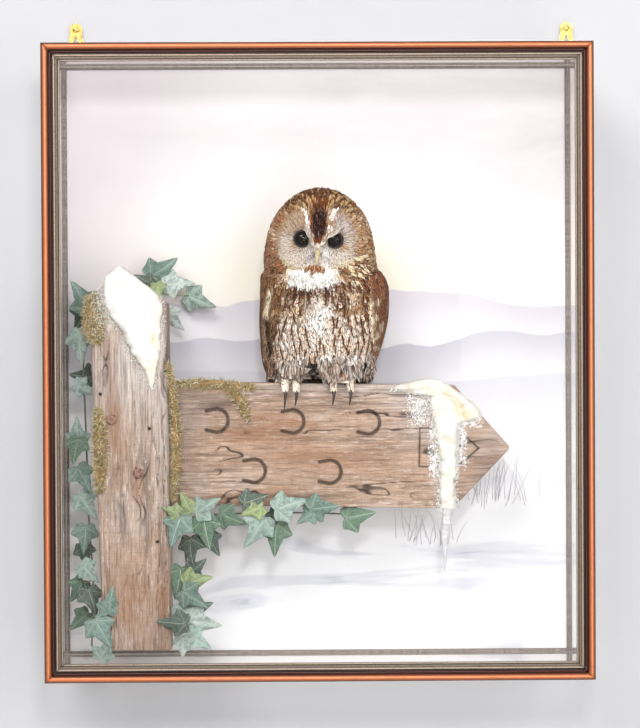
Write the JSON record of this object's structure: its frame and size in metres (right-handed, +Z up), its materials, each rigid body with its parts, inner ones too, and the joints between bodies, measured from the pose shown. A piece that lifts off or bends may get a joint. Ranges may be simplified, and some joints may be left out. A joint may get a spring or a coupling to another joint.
{
  "type": "taxidermy tawny owl",
  "caption": "Glazed wall case with a mounted tawny owl perched on the arm of a mossy, snow-capped wooden fingerpost with ivy, before a pale winter panel.",
  "frame": {"origin": "centre of the backboard's rear face, which lies against the wall", "axes": "+Z up, +Y into the wall, so the case faces -Y; +X is to the right of a person who looks into the case"},
  "size_m": [0.755, 0.222, 0.9235],
  "materials": {
    "moulding": "copper-lacquered bead over a dark recess, worn silver-brown slip at the sight edge",
    "bead": "limed grey-brown quarter-round",
    "backboard": "plain plywood, pale paint on the margin that shows",
    "backdrop": "matt painted panel, soft winter colours",
    "hanger_brass": "polished, slightly tarnished",
    "pane": "clear float glass",
    "weathered_wood": "weathered, cracked, greyish tan with rust stains",
    "arm_wood": "weathered brown-tan board, carved marks darker",
    "bolt_head": "rusty brown paint",
    "snow": "matt plaster snow with a fine sparkle, warm stains",
    "ice": "milky clear resin",
    "moss": "dry golden-brown fibres",
    "ivy": "blue-green leaf with pale veins and a dusty bloom",
    "plumage": "soft matt feathers, rufous and cream mottling with dark shafts",
    "leg_down": "short cream down",
    "eye": "polished dark brown glass",
    "bill": "pale yellow-green horn",
    "claw": "dark horn"
  },
  "bodies": {
    "root": {"frame_top": "moulding", "frame_bottom": "moulding", "frame_left": "moulding", "frame_right": "moulding", "back_board": "backboard", "backdrop_panel": "backdrop", "hanger_left": "hanger_brass", "hanger_right": "hanger_brass", "hanger_screw_left": "hanger_brass", "hanger_screw_right": "hanger_brass", "bead_top": "bead", "bead_bottom": "bead", "bead_left": "bead", "bead_right": "bead", "front_glass": "pane", "pane_left": "pane", "pane_right": "pane", "pane_top": "pane", "pane_bottom": "pane", "post": "weathered_wood", "post_block": "weathered_wood", "sign_board": "arm_wood", "bolt_upper": "bolt_head", "bolt_lower": "bolt_head", "ivy_behind": "ivy", "ivy_left": "ivy", "ivy_sign": "ivy", "ivy_right": "ivy", "snow_post": "snow", "snow_sign": "snow", "icicle": "ice", "moss_post_upper": "moss", "moss_post_lower": "moss", "moss_joint": "moss", "moss_sign": "moss", "owl_head": "plumage", "owl_neck": "plumage", "owl_trunk": "plumage", "owl_tail": "plumage", "owl_wing_left": "plumage", "owl_wing_right": "plumage", "owl_leg_left": "leg_down", "owl_leg_right": "leg_down", "owl_foot_left": "leg_down", "owl_foot_right": "leg_down", "owl_eye_left": "eye", "owl_eye_right": "eye", "owl_bill": "bill", "owl_claw_left_1": "claw", "owl_claw_left_2": "claw", "owl_claw_left_3": "claw", "owl_claw_left_4": "claw", "owl_claw_right_1": "claw", "owl_claw_right_2": "claw", "owl_claw_right_3": "claw", "owl_claw_right_4": "claw"}
  },
  "joints": []
}
